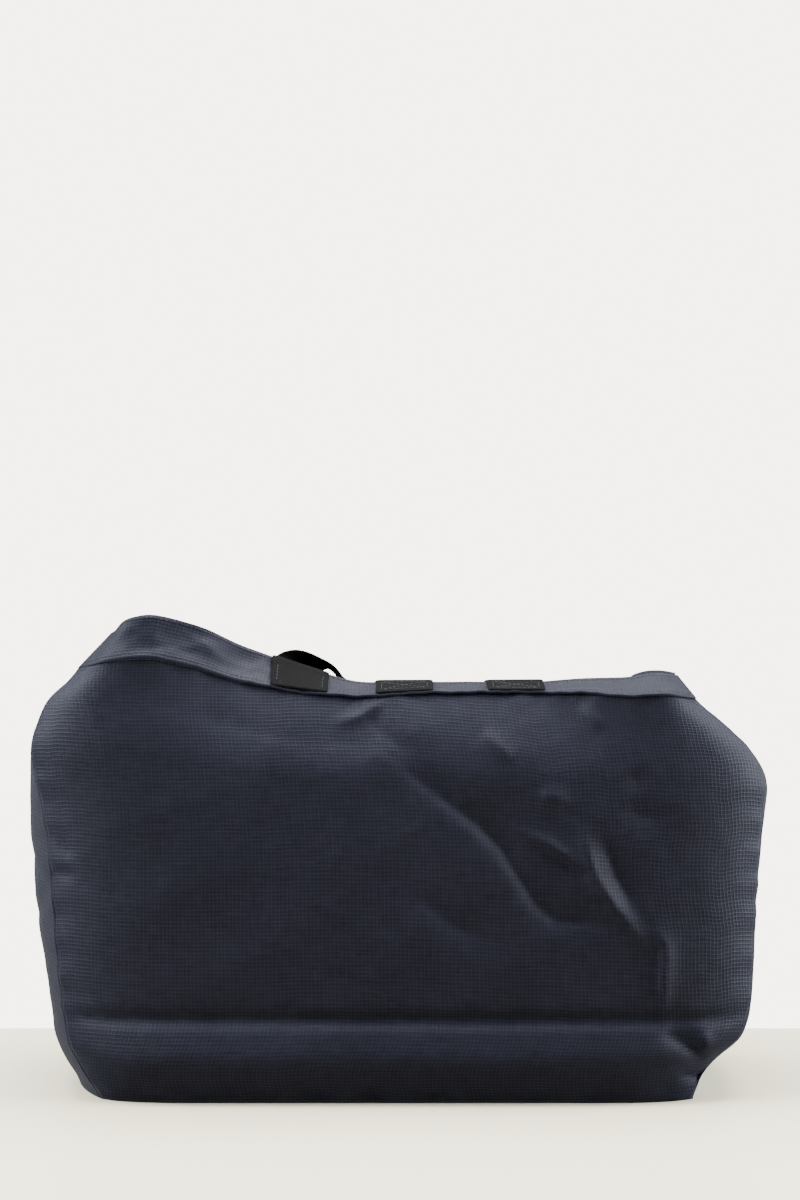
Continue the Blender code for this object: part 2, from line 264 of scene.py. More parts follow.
def wall(side, across, up):
    """Points of the front (-1) or back (1) wall before its small creases; across and up cover the panel."""
    places, seams = HEM_TABLES[side][:2]
    top = SEAM_HEIGHT * eased(across, places, seams)
    height = up * top
    left = -eased(up, OUTLINE, LEFT_SEAM) * HALF_BELLY
    right = eased(up, OUTLINE, RIGHT_SEAM) * HALF_BELLY
    x = left + (right - left) * (across + 1) / 2
    middle = 1 - np.abs(across) ** 6
    tuck = 0.0046 * np.exp(-(((height - CREASE_HEIGHT) / 0.0045) ** 2))
    tuck += 0.0010 * ease((height - CREASE_HEIGHT) / 0.004) * np.exp(-(height - CREASE_HEIGHT) / 0.03)
    roll = 0.0045 * np.exp(-(((height - 0.030) / 0.015) ** 2))
    toe = 0.010 * np.clip(1 - height / 0.027, 0, 1) ** 2
    slow = np.clip((up - 0.35) / 0.65, 0, 1) ** 2
    knee = np.clip((up - KNEE) / (1 - KNEE), 0, 1) ** 1.6
    lean = (0.025 if side < 0 else 0.035) * (0.35 * slow + 0.65 * knee)
    fade = ease((1 - np.abs(across)) / 0.55)
    inward = CORNER_DEPTH * np.abs(across) ** 9 + (tuck - roll + toe) * middle
    y = side * (HALF_DEPTH - inward) + lean * fade
    return np.stack((x, y, height), axis=-1) + SHIFT


def crease_line(points, stops, depth, width, skew=0.0):
    """How far a crease along these (x, z) stops moves each point; skew makes one flank steeper."""
    flat = points[:, [0, 2]]
    nearest = np.full(len(flat), 1e9)
    signed = np.zeros(len(flat))
    along = np.zeros(len(flat))
    stops = np.array(stops)
    lengths = np.linalg.norm(np.diff(stops, axis=0), axis=1)
    total = lengths.sum()
    done = 0.0
    for start, end, length in zip(stops[:-1], stops[1:], lengths):
        run = (end - start) / length
        share = np.clip((flat - start) @ run, 0, length)
        away = flat - (start + share[:, None] * run)
        gap = np.linalg.norm(away, axis=1)
        better = gap < nearest
        nearest[better] = gap[better]
        signed[better] = (away @ np.array((-run[1], run[0])))[better]
        along[better] = ((done + share) / total)[better]
        done += length
    reach = np.where(signed > 0, width * (1 + skew), width * (1 - skew))
    ends = np.sin(np.pi * np.clip(along * 0.92 + 0.04, 0, 1)) ** 0.7
    return depth * ends * np.exp(-((nearest / reach) ** 1.25))


def rumple(u, v, seed, size, count=9):
    """Soft, slightly ridged unevenness over a cloth, about -1 to 1, with dents of roughly this size."""
    pick = np.random.default_rng(seed)
    total = np.zeros_like(u)
    for _ in range(count):
        turn = pick.uniform(0, np.pi)
        pitch = size * pick.uniform(0.7, 1.6)
        phase = pick.uniform(0, 2 * np.pi)
        bend = 0.6 * np.sin((u * np.sin(turn) - v * np.cos(turn)) * 2 * np.pi / (pitch * 2.3) + phase * 2)
        wave = np.sin((u * np.cos(turn) + v * np.sin(turn)) * 2 * np.pi / pitch + phase + bend)
        total += 1 - 2 * np.abs(wave) ** 0.8
    return total / count ** 0.5


def cloth_grid(name, columns, rows):
    """A flat grid from -1 to 1, ready to be laid out."""
    bpy.ops.object.select_all(action="DESELECT")
    bpy.ops.mesh.primitive_grid_add(x_subdivisions=columns, y_subdivisions=rows, size=2, location=(0, 0, 0))
    made = bpy.context.object
    made.name = name
    made.data.name = name
    flat = np.empty(len(made.data.vertices) * 3)
    made.data.vertices.foreach_get("co", flat)
    flat = flat.reshape(-1, 3)
    return made, flat[:, 0], (flat[:, 1] + 1) / 2


def lay_out(made, points):
    made.data.vertices.foreach_set("co", np.ascontiguousarray(points, dtype=np.float32).ravel())
    made.data.update()


def measure_cloth(made, across, up):
    """Writes the piece's UV map in metres, measured along its threads from the middle of its lower edge."""
    points = np.empty(len(made.data.vertices) * 3)
    made.data.vertices.foreach_get("co", points)
    points = points.reshape(-1, 3)
    order = np.lexsort((np.round(across, 5), np.round(up, 5)))
    columns = len(np.unique(np.round(across, 5)))
    grid = points[order].reshape(-1, columns, 3)
    steps_across = np.linalg.norm(np.diff(grid, axis=1), axis=2).cumsum(axis=1)
    width = np.concatenate((np.zeros((len(grid), 1)), steps_across), axis=1)
    width -= width[:, columns // 2][:, None]
    steps_up = np.linalg.norm(np.diff(grid, axis=0), axis=2).cumsum(axis=0)
    rise = np.concatenate((np.zeros((1, columns)), steps_up), axis=0)
    found = np.zeros((len(points), 2))
    found[order] = np.stack((width, rise), axis=-1).reshape(-1, 2)
    corner = np.empty(len(made.data.loops), np.int32)
    made.data.loops.foreach_get("vertex_index", corner)
    layer = made.data.uv_layers.active or made.data.uv_layers.new()
    layer.name = "threads"
    layer.data.foreach_set("uv", found[corner].astype(np.float32).ravel())
    return round(float(np.ptp(width, axis=1).mean()), 3), round(float(np.ptp(rise, axis=0).mean()), 3)


def thicken(made, thickness, rounds=0):
    """Gives a laid-out cloth its thickness and applies it."""
    shell = made.modifiers.new("thickness", "SOLIDIFY")
    shell.thickness = thickness
    shell.offset = 0.0
    if rounds:
        soft = made.modifiers.new("soft_edges", "SUBSURF")
        soft.levels = soft.render_levels = rounds
    bpy.ops.object.select_all(action="DESELECT")
    made.select_set(True)
    bpy.context.view_layer.objects.active = made
    for modifier in list(made.modifiers):
        bpy.ops.object.modifier_apply(modifier=modifier.name)
    bpy.ops.object.shade_smooth()


RIPSTOP_PITCH = 0.00252


def ripstop(name, dark, light, crisp=1.0, shine=0.17):
    """Ripstop: a plain weave with a raised double thread every 2.5 mm both ways, and faint rumples."""
    made = Finish(name)
    threads = made.node("UVMap", {"uv_map": "threads"})
    place = made.node("SeparateXYZ", None, 0, Vector=threads)
    across, up = place, made.other(place, 1)
    turn = 2 * np.pi / RIPSTOP_PITCH

    def rib(along, sharp):
        return ((along * turn).math("COSINE") * 0.5 + 0.5) ** sharp

    upright, level = rib(across, 5.0), rib(up, 4.0)
    fine = (across * (turn * 5)).math("SINE") * (up * (turn * 5)).math("SINE")
    stretched = made.node("Mapping", None, 0, Vector=threads, Scale=(60.0, 900.0, 1.0))
    slub = made.noise(stretched, 1.0, 2.0)
    stretched_up = made.node("Mapping", None, 0, Vector=threads, Scale=(900.0, 60.0, 1.0))
    slub_up = made.noise(stretched_up, 1.0, 2.0)
    cloudy = made.noise(threads, 9.0, 3.0)
    # The raised ribs are painted lighter in the base colour, a painted highlight on their crests; the slubs
    # and clouds are the yarn's own uneven tone.
    ribs = upright * 0.42 + level * 0.38
    yarn = (slub - 0.5) * 0.75 + (slub_up - 0.5) * 0.60
    yarn_tone_and_rib_highlight = ribs + yarn + (cloudy - 0.5) * 0.25 + 0.14
    made.feed(Base_Color=made.mix(yarn_tone_and_rib_highlight.math("MAXIMUM", 0.0).math("MINIMUM", 1.0), dark, light))
    made.feed(Roughness=0.60 - upright * 0.05 - level * 0.05 + (cloudy - 0.5) * 0.12)
    relief = upright * 0.8 + level * 1.0 + fine * 0.18 + (slub - 0.5) * 0.3
    weave = made.node("Bump", None, 0, Strength=0.55 * crisp, Distance=0.00018, Height=relief)
    rumple = made.noise(threads, 55.0, 3.0, 0.55)
    rumpled = made.node("Bump", None, 0, Strength=0.10, Distance=0.0010, Height=rumple, Normal=weave)
    made.feed(Normal=rumpled)
    made.feed(Sheen_Weight=0.03, Sheen_Roughness=0.4, Specular_IOR_Level=shine)
    return made.material


NAVY_DARK = (0.0012, 0.0013, 0.0052, 1)
NAVY_LIGHT = (0.0084, 0.0088, 0.0205, 1)
navy_ripstop = ripstop("navy_ripstop", NAVY_DARK, NAVY_LIGHT)

front_wall, across, up = cloth_grid("front_wall", 180, 120)
points = wall(-1, across, up)
FOLDS = (
    (((0.004, 0.216), (0.037, 0.191), (0.049, 0.182), (0.066, 0.165), (0.080, 0.142), (0.088, 0.129),
      (0.100, 0.119), (0.135, 0.116)), 0.0056, 0.0085, 0.45),
    (((0.082, 0.176), (0.095, 0.169), (0.119, 0.153)), -0.0040, 0.0040, -0.2),
    (((0.084, 0.169), (0.098, 0.160), (0.122, 0.144)), 0.0028, 0.0045, 0.2),
    (((0.117, 0.176), (0.126, 0.147), (0.138, 0.129), (0.156, 0.107)), -0.0050, 0.0064, -0.25),
    (((0.131, 0.172), (0.140, 0.147), (0.153, 0.125)), 0.0040, 0.0062, 0.3),
    (((0.164, 0.114), (0.171, 0.102), (0.170, 0.075), (0.168, 0.056)), -0.0040, 0.0042, 0.35),
    (((0.144, 0.191), (0.173, 0.183)), 0.0026, 0.0090, 0.0),
    (((0.009, 0.136), (0.037, 0.115), (0.060, 0.105)), 0.0026, 0.0085, 0.2),
    (((0.054, 0.240), (0.074, 0.222)), -0.0030, 0.0055, 0.0),
    (((0.118, 0.258), (0.132, 0.244)), -0.0026, 0.0055, 0.0),
    (((-0.040, 0.246), (-0.026, 0.250), (-0.010, 0.260)), -0.0030, 0.0048, 0.2),
    (((-0.024, 0.252), (-0.012, 0.240), (0.008, 0.226)), 0.0020, 0.0060, 0.0),
    (((-0.156, 0.258), (-0.115, 0.246), (-0.070, 0.235), (0.0, 0.230)), 0.0010, 0.0100, 0.3),
    (((0.090, 0.201), (0.110, 0.197)), -0.0032, 0.0080, 0.0),
    (((0.149, 0.216), (0.157, 0.204)), 0.0022, 0.0060, 0.0),
    (((-0.222, 0.172), (-0.214, 0.158)), 0.0022, 0.0035, 0.0),
    (((-0.226, 0.150), (-0.212, 0.146)), 0.0018, 0.0035, 0.0),
    (((0.196, 0.047), (0.199, 0.032)), -0.0036, 0.0050, 0.0),
    (((0.170, 0.047), (0.186, 0.038), (0.199, 0.028)), 0.0052, 0.0065, 0.3),
    (((0.180, 0.020), (0.203, 0.013)), 0.0036, 0.0040, 0.0),
    (((-0.116, 0.022), (-0.106, 0.006)), 0.0014, 0.0050, 0.0),
    (((-0.022, 0.018), (-0.016, 0.003)), 0.0014, 0.0045, 0.0),
    (((0.070, 0.022), (0.080, 0.006)), 0.0012, 0.0050, 0.0),
    (((-0.180, 0.060), (-0.120, 0.064), (-0.060, 0.061)), 0.0010, 0.0060, 0.0),
)


def crumple(points, folds, side, seed):
    """Adds the creases and a general unevenness to a laid-out wall."""
    for stops, depth, width, skew in folds:
        points[:, 1] -= side * crease_line(points, stops, depth, width, skew)
    x, z = points[:, 0], points[:, 2]
    loose = np.clip(1 - np.abs(x) / 0.235, 0, 1) ** 0.4 * np.clip(z / 0.02, 0, 1)
    broad, small = rumple(x, z, seed, 0.11), rumple(x, z, seed + 1, 0.03)
    points[:, 1] += side * loose * (0.0006 * broad + 0.00012 * small)


def pucker(points, along, near, depth, pitch, seed, direction):
    """Small gathers along a sewn edge; near is 1 on the seam and 0 away from it."""
    pick = np.random.default_rng(seed)
    phase = np.cumsum(pick.uniform(0.6, 1.4, 200)) * pitch
    wave = np.interp(along, phase - phase[100], np.tile((-1.0, 1.0), 100))
    points += depth * (wave * near)[:, None] * np.asarray(direction)


GATHER_DEPTH = 0.0007
GATHER_PITCH = 0.012


def seam_gathers(points, across, up, side):
    """Gathers along the four seams of a wall; those at the gussets are the gussets' own too."""
    under_hem = np.exp(-(1 - up) * SEAM_HEIGHT / 0.011)
    over_base = np.exp(-(((up * SEAM_HEIGHT - 0.009) / 0.007) ** 2))
    pucker(points, points[:, 0], under_hem, 0.00045, 0.013, 3 + side, (0, 1, 0))
    pucker(points, points[:, 0], over_base, 0.0008, 0.018, 14 + side, (0, 1, 0))
    for edge in (-1, 1):
        near = np.exp(-np.abs(edge - across) * 0.23 / 0.010)
        out = (0.7 * edge, 0.7 * side, 0)
        pucker(points, up * SEAM_HEIGHT, near, GATHER_DEPTH, GATHER_PITCH, 25 + side + 3 * edge, out)


crumple(points, FOLDS, -1, 11)
seam_gathers(points, across, up, -1)
lay_out(front_wall, points)
flat = measure_cloth(front_wall, across, up)
thicken(front_wall, CLOTH)
front_wall.data.materials.append(navy_ripstop)
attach(front_wall, "front")
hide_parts("front_panel")

# --------------------------------------------------------------------------------------------------
# Back wall: the same panel, cut a little lower at the hem, with its own creases from being folded.
back_wall, across, up = cloth_grid("back_wall", 170, 110)
points = wall(1, -across, up)
BACK_FOLDS = (
    (((-0.150, 0.196), (-0.090, 0.172), (-0.050, 0.140), (-0.010, 0.120)), 0.0030, 0.0075, 0.3),
    (((-0.120, 0.150), (-0.085, 0.128), (-0.060, 0.098)), -0.0026, 0.0055, 0.0),
    (((0.040, 0.205), (0.085, 0.185), (0.120, 0.150), (0.150, 0.135)), 0.0028, 0.0070, -0.3),
    (((0.060, 0.160), (0.090, 0.140), (0.105, 0.110)), -0.0024, 0.0050, 0.0),
    (((-0.030, 0.225), (0.010, 0.205), (0.045, 0.210)), 0.0020, 0.0090, 0.0),
    (((0.150, 0.090), (0.175, 0.070), (0.190, 0.048)), 0.0030, 0.0060, 0.0),
    (((-0.190, 0.110), (-0.165, 0.085), (-0.150, 0.062)), -0.0026, 0.0060, 0.0),
)
crumple(points, BACK_FOLDS, 1, 21)
seam_gathers(points, -across, up, 1)
lay_out(back_wall, points)
flat = measure_cloth(back_wall, across, up)
thicken(back_wall, CLOTH)
back_wall.data.materials.append(navy_ripstop)
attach(back_wall, "back")
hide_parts("back_panel")


def gusset(side, back, up):
    """Points of the left (-1) or right (1) gusset; back runs from its front seam to its back seam."""
    front_edge = wall(-1, np.full_like(back, side), up)
    back_edge = wall(1, np.full_like(back, side), up)
    share = ((back + 1) / 2)[:, None]
    points = front_edge + (back_edge - front_edge) * share
    seam = eased(up, OUTLINE, LEFT_SEAM if side < 0 else RIGHT_SEAM)
    bulge = eased(up, OUTLINE, LEFT_BULGE if side < 0 else RIGHT_BULGE)
    points[:, 0] += side * HALF_BELLY * (bulge - seam) * (1 - back * back)
    return points


def gather(piece):
    """Puts a piece between the two walls on the front wall's body, with a mesh of its own."""
    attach(piece, "front")
    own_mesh(piece)


for label, side in (("left", -1), ("right", 1)):
    side_wall, back, up = cloth_grid(f"{label}_side_wall", 70, 110)
    back *= side
    points = gusset(side, back, up)
    soft = (1 - back * back) * np.clip(up / 0.08, 0, 1) * np.clip((1 - up) / 0.06, 0, 1)
    y, z = points[:, 1], points[:, 2]
    slant = 0.0018 * np.exp(-(((z - 0.168 - 0.35 * y) / 0.007) ** 2))
    slant += 0.0022 * np.exp(-(((z - 0.105 + 0.28 * y) / 0.008) ** 2))
    dent = 0.0030 * np.exp(-((back / 0.13) ** 2)) * ease((up - 0.35) / 0.4)
    uneven = 0.0006 * rumple(y, z, 31 + side, 0.10) - dent
    points[:, 0] += side * soft * (uneven - slant)
    for edge in (-1, 1):
        near = np.exp(-np.abs(edge - back) * 0.078 / 0.009)
        out = (0.7 * side, 0.7 * edge, 0)
        pucker(points, up * SEAM_HEIGHT, near, GATHER_DEPTH, GATHER_PITCH, 25 + edge + 3 * side, out)
    lay_out(side_wall, points)
    flat = measure_cloth(side_wall, back, up)
    thicken(side_wall, CLOTH)
    side_wall.data.materials.append(navy_ripstop)
    gather(side_wall)
    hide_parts(f"{label}_gusset")

# --------------------------------------------------------------------------------------------------
# Base: a flat rectangle of ripstop sewn inside the lower edges, lying on the table.
base, across, back = cloth_grid("base_cloth", 110, 50)
back = back * 2 - 1
LOWER_INSET = -0.0001
left = gusset(-1, back, np.zeros_like(back))[:, 0] + LOWER_INSET
right = gusset(1, back, np.zeros_like(back))[:, 0] - LOWER_INSET
front = wall(-1, across, np.zeros_like(across))[:, 1] + LOWER_INSET
rear = wall(1, across, np.zeros_like(across))[:, 1] - LOWER_INSET
x = left + (right - left) * (across + 1) / 2
y = front + (rear - front) * (back + 1) / 2
loose = (1 - across**4) * (1 - back**4)
height = 0.0008 + 0.0010 * loose * (1 + rumple(x, y, 51, 0.05) * 0.45)
lay_out(base, np.stack((x, y, np.maximum(height, 0.0007)), axis=-1))
flat = measure_cloth(base, across, back)
thicken(base, CLOTH)
base.data.materials.append(navy_ripstop)
gather(base)
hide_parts("base_panel")

# --------------------------------------------------------------------------------------------------
# Hem: the wall's cloth turned over twice round the mouth and stitched down, so it is thicker than
# the walls and its lower edge stands a little proud. It leans back into the mouth and stands up at
# the corners.
HEM_CLOTH = 0.0016
HEM_OVERLAP = 0.0016
HEM_DARK = (0.0010, 0.0011, 0.0040, 1)
HEM_LIGHT = (0.0072, 0.0078, 0.0190, 1)
navy_hem = ripstop("navy_hem", HEM_DARK, HEM_LIGHT, 0.8, 0.13)


def hem_lean(side, across):
    """The unit direction in which the hem stands up from its seam."""
    places, _, rises, slips = HEM_TABLES[side]
    rise, slip = eased(across, places, rises), eased(across, places, slips)
    level = np.sqrt(np.maximum(0.05, 1 - rise * rise - slip * slip))
    lean = np.stack((slip, -side * level, rise), axis=-1)
    return lean / np.linalg.norm(lean, axis=-1, keepdims=True)


def hem(side, across, up):
    """Points of the front or back hem, up from its seam to the rim."""
    start = wall(side, across, np.ones_like(across))
    return start + hem_lean(side, across) * (up * (HEM_HEIGHT + HEM_OVERLAP) - HEM_OVERLAP)[:, None]


SIDE_BOW = {-1: 0.0, 1: 0.8}


def side_hem(side, back, up):
    """Points of a side hem, whose ends follow the front and back hems; the right one lies over inwards."""
    start = gusset(side, back, np.ones_like(back))
    share = ((back + 1) / 2)[:, None]
    edge = np.full_like(back, side)
    lean = hem_lean(-1, edge) * (1 - share) + hem_lean(1, edge) * share
    lean[:, 0] -= side * SIDE_BOW[side] * (1 - back * back)
    lean /= np.linalg.norm(lean, axis=-1, keepdims=True)
    return start + lean * (up * (HEM_HEIGHT + HEM_OVERLAP) - HEM_OVERLAP)[:, None]


def outward(points, along, up, side_hint):
    """Unit normals of a gridded strip, on the side that the hint points to."""
    order = np.lexsort((np.round(along, 5), np.round(up, 5)))
    columns = len(np.unique(np.round(along, 5)))
    grid = points[order].reshape(-1, columns, 3)
    found = np.empty_like(points)
    normal = np.cross(np.gradient(grid, axis=1), np.gradient(grid, axis=0)).reshape(-1, 3)
    normal /= np.linalg.norm(normal, axis=1, keepdims=True)
    found[order] = normal
    return found * np.where((found * side_hint).sum(axis=1) < 0, -1.0, 1.0)[:, None]


def finish_hem(piece, points, along, up, hint, seed, node):
    """Gives a laid-out hem its rolled rim, puckered lower edge, thickness and finish."""
    normal = outward(points, along, up, np.asarray(hint))
    height = up * HEM_HEIGHT
    rolled_rim = 0.0007 * np.exp(-(((1 - up) * HEM_HEIGHT / 0.003) ** 2))
    roll = rolled_rim + 0.0009 * np.exp(-((height / 0.006) ** 2))
    at_a_side = abs(hint[0]) > 0.5
    run = points[:, 1] if at_a_side else points[:, 0]
    held = np.sin(np.pi * np.clip(up, 0.05, 1)) ** 0.5
    waves = (0.0004 if at_a_side else 0.0010) * rumple(run, height, seed, 0.045, 6) * held
    calm = 1 - np.abs(along) ** 8
    points = points + normal * ((roll + waves) * calm)[:, None]
    gathers = normal * (np.exp(-up * HEM_HEIGHT / 0.006) * calm)[:, None]
    pick = np.random.default_rng(seed)
    stations = np.cumsum(pick.uniform(0.5, 1.5, 220)) * 0.007
    wave = np.interp(run, stations - stations[110], np.tile((-1.0, 1.0), 110))
    points += 0.0003 * gathers * wave[:, None]
    lay_out(piece, points)
    flat = measure_cloth(piece, along, up)
    for label, row in (("lower", SEWN_ROWS[0]), ("upper", SEWN_ROWS[1])):
        on_row = np.isclose(up, row, atol=0.01)
        order = np.argsort(along[on_row])
        surface = points[on_row] + normal[on_row] * HEM_CLOTH / 2
        sewn_rows[f"{piece.name}_{label}"] = surface[order], normal[on_row][order]
    thicken(piece, HEM_CLOTH)
    piece.data.materials.append(navy_hem)
    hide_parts(node)


HEM_ROWS = 14
SEWN_ROWS = (2 / HEM_ROWS, 13 / HEM_ROWS)
sewn_rows = {}
front_hem, across, up = cloth_grid("front_hem", 220, HEM_ROWS)
points = hem(-1, across, up)
HEM_FOLDS = (
    (((-0.176, 0.294), (-0.150, 0.2945), (-0.128, 0.288)), 0.0022, 0.0040, 0.3),
    (((-0.128, 0.296), (-0.112, 0.284)), -0.0014, 0.0045, 0.0),
    (((-0.100, 0.286), (-0.090, 0.276)), 0.0012, 0.0040, 0.0),
)
for stops, depth, width, skew in HEM_FOLDS:
    points[:, 1] += crease_line(points, stops, depth, width, skew)
finish_hem(front_hem, points, across, up, (0, -1, 0.6), 61, "front_hem_band")
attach(front_hem, "front")

back_hem, across, up = cloth_grid("back_hem", 200, HEM_ROWS)
finish_hem(back_hem, hem(1, -across, up), across, up, (0, 1, 0.6), 62, "back_hem_band")
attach(back_hem, "back")


def hold_both_ends(piece):
    """Bakes a side hem's placement into its mesh; its ends meet the front hem at one end and the back hem
    at the other.
    """
    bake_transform(piece)


for label, side in (("left", -1), ("right", 1)):
    corner_hem, back, up = cloth_grid(f"{label}_hem", 80, HEM_ROWS)
    back = back if side > 0 else -back
    points = side_hem(side, back, up)
    finish_hem(corner_hem, points, back, up, (side, 0, 0.3), 63 + side, f"{label}_hem_band")
    hold_both_ends(corner_hem)

# --------------------------------------------------------------------------------------------------
# Hem stitching: a row of lockstitch in dark navy thread along the hem's lower edge and another
# under the rim.
STITCH = 0.0027
STITCH_PITCH = 0.0034
THREAD = 0.00028

bpy.ops.object.select_all(action="DESELECT")
bpy.ops.mesh.primitive_uv_sphere_add(segments=6, ring_count=4, radius=1, location=(0, 0, 0))
one_stitch = bpy.context.object
bead = np.array([corner.co[:] for corner in one_stitch.data.vertices])
bead_faces = [tuple(face.vertices) for face in one_stitch.data.polygons]
bpy.data.objects.remove(one_stitch, do_unlink=True)

thread = Finish("sewing_thread")
fluff = thread.noise(thread.node("TexCoord", None, 3), 2200.0, 2.0)
thread.feed(Base_Color=thread.mix(fluff, (0.0035, 0.0040, 0.0090, 1), (0.0200, 0.0220, 0.0380, 1)))
thread.feed(Roughness=0.50 + fluff * 0.2, Specular_IOR_Level=0.25)
thread.feed(Normal=thread.node("Bump", None, 0, Strength=0.4, Distance=0.0001, Height=fluff))


def sew(name, rows):
    """Stitches end to end along rows of (points, outward directions), as one object of small beads."""
    corners, faces = [], []
    for points, normals in rows:
        points, normals = np.asarray(points, float), np.asarray(normals, float)
        run = np.concatenate(([0], np.linalg.norm(np.diff(points, axis=0), axis=1).cumsum()))
        for start in np.arange(STITCH_PITCH / 2, run[-1] - STITCH, STITCH_PITCH):
            first = np.array([np.interp(start, run, points[:, k]) for k in range(3)])
            last = np.array([np.interp(start + STITCH, run, points[:, k]) for k in range(3)])
            out = np.array([np.interp(start, run, normals[:, k]) for k in range(3)])
            along = last - first
            along /= np.linalg.norm(along)
            aside = np.cross(out, along)
            aside /= np.linalg.norm(aside)
            out = np.cross(along, aside)
            middle = (first + last) / 2 + out * THREAD * 0.3
            shape = bead[:, 2:] * along * STITCH / 2 + (bead[:, :1] * aside + bead[:, 1:2] * out) * THREAD
            faces += [tuple(k + len(corners) * len(bead) for k in face) for face in bead_faces]
            corners.append(middle + shape)
    mesh = bpy.data.meshes.new(name)
    mesh.from_pydata(np.concatenate(corners), [], faces)
    mesh.update()
    made = bpy.data.objects.new(name, mesh)
    bpy.context.scene.collection.objects.link(made)
    mesh.materials.append(thread.material)
    for face in mesh.polygons:
        face.use_smooth = True
    return made


for label in ("front", "back", "left", "right"):
    rows = [sewn_rows[f"{label}_hem_{edge}"] for edge in ("lower", "upper")]
    made = sew(f"{label}_hem_stitching", rows)
    if label in ("front", "back"):
        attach(made, label)
    else:
        hold_both_ends(made)

# --------------------------------------------------------------------------------------------------
# Binding: black tape folded over the raw seam edges inside the bag, standing off the seams as
# narrow fins.
BINDING = 0.0018
BINDING_WIDTH = 0.008
BINDING_CLEAR = 0.0036


def webbing_finish(name, dark, light, pitch, rough):
    """Woven tape: slanting ribs that change direction in narrow columns, and dull yarn."""
    made = Finish(name)
    threads = made.node("UVMap", {"uv_map": "threads"})
    place = made.node("SeparateXYZ", None, 0, Vector=threads)
    across, along = place, made.other(place, 1)
    column = (across * (1 / (pitch * 2.4))).math("PINGPONG", 1.0)
    ribs = ((along * (2 * np.pi / pitch)) + column * 3.0).math("SINE") * 0.5 + 0.5
    cords = (across * (2 * np.pi / (pitch * 0.8))).math("SINE") * 0.5 + 0.5
    fuzz = made.noise(made.node("Mapping", None, 0, Vector=threads, Scale=(900, 500, 1)), 1.0)
    # The raised ribs and cords are painted lighter in the base colour, a painted highlight on their crests;
    # the fuzz is the yarn's own uneven tone.
    yarn_tone_and_rib_highlight = ribs * 0.45 + cords * 0.2 + (fuzz - 0.5) * 0.5 + 0.15
    made.feed(Base_Color=made.mix(yarn_tone_and_rib_highlight.math("MAXIMUM", 0.0).math("MINIMUM", 1.0), dark, light))
    made.feed(Roughness=rough + (fuzz - 0.5) * 0.15)
    relief = ribs * 1.0 + cords * 0.4 + (fuzz - 0.5) * 0.3
    made.feed(Normal=made.node("Bump", None, 0, Strength=0.7, Distance=0.00025, Height=relief))
    made.feed(Specular_IOR_Level=0.05)
    return made.material


TAPE_DARK = (0.0010, 0.0010, 0.0013, 1)
TAPE_LIGHT = (0.0060, 0.0060, 0.0072, 1)
binding_tape = webbing_finish("binding_tape", TAPE_DARK, TAPE_LIGHT, 0.0011, 0.62)
BINDINGS = (
    ("front_left_binding", -1, -1, "front"),
    ("front_right_binding", -1, 1, "front"),
    ("back_left_binding", 1, -1, "back"),
    ("back_right_binding", 1, 1, "back"),
)
for node, wall_side, side, body in BINDINGS:
    tape, out, up = cloth_grid(f"{node}_tape", 8, 110)
    turn = -1 if wall_side * side > 0 else 1
    out_share = (out * turn + 1) / 2
    height = 0.060 + up * 0.885
    points = wall(wall_side, np.full_like(up, side), height)
    inward = np.array((-side * 0.75, -wall_side * 0.66, 0.0))
    points += inward * (BINDING_CLEAR + out_share * BINDING_WIDTH)[:, None]
    sway = 0.0007 * np.sin(height * 37 + side) * out_share
    points += np.array((wall_side * 0.66, -side * 0.75, 0.0)) * sway[:, None]
    lay_out(tape, points)
    measure_cloth(tape, out, up)
    thicken(tape, BINDING, 1)
    tape.data.materials.append(binding_tape)
    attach(tape, body)
    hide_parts(node)

for node, wall_side, body in (("front_base_binding", -1, "front"), ("back_base_binding", 1, "back")):
    tape, across, up = cloth_grid(f"{node}_tape", 160, 6)
    run = across * -wall_side * 0.86
    points = wall(wall_side, run, np.zeros_like(run))
    points[:, 1] -= wall_side * (BINDING + 0.0006 + up * BINDING_WIDTH * 0.5)
    points[:, 1] += 0.0005 * np.sin(run * 60) * up
    points[:, 2] = SHIFT[2] + 0.0024 + up * BINDING_WIDTH
    lay_out(tape, points)
    measure_cloth(tape, up, across)
    thicken(tape, BINDING, 1)
    tape.data.materials.append(binding_tape)
    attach(tape, body)
    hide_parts(node)

# --------------------------------------------------------------------------------------------------
# Handles: each one length of 38 mm black polypropylene webbing, sewn to the outside of the hem at
# both ends and hanging down inside the mouth. The front one's left leg stands up in a curl before
# it drops.
WEBBING = 0.0015
WEBBING_WIDTH = 0.038
STANDOFF = 0.0021
WEBBING_DARK = (0.0006, 0.0006, 0.0006, 1)
WEBBING_LIGHT = (0.0068, 0.0062, 0.0057, 1)
FRONT_LEFT, FRONT_MIDDLE, FRONT_RIGHT = -0.0665, 0.0030, 0.0765
BACK_LEFT, BACK_MIDDLE, BACK_RIGHT = -0.0716, 0.0004, 0.0725
black_webbing = webbing_finish("black_webbing", WEBBING_DARK, WEBBING_LIGHT, 0.0016, 0.86)


def on_hem(side, x, up, lift=STANDOFF):
    """The point this far off the outside of the hem at this x, and the outward direction there."""
    ends = wall(side, np.array((-1.0, 1.0)), np.ones(2))[:, 0]
    share = (x - ends[0]) / (ends[1] - ends[0]) * 2 - 1
    near = hem(side, np.array((share - 0.02, share, share + 0.02)), np.full(3, up))
    away = np.cross(near[2] - near[0], hem_lean(side, np.array((share,)))[0])
    away /= np.linalg.norm(away)
    away = away if away[1] * side > 0 else -away
    return near[1] + away * lift, away


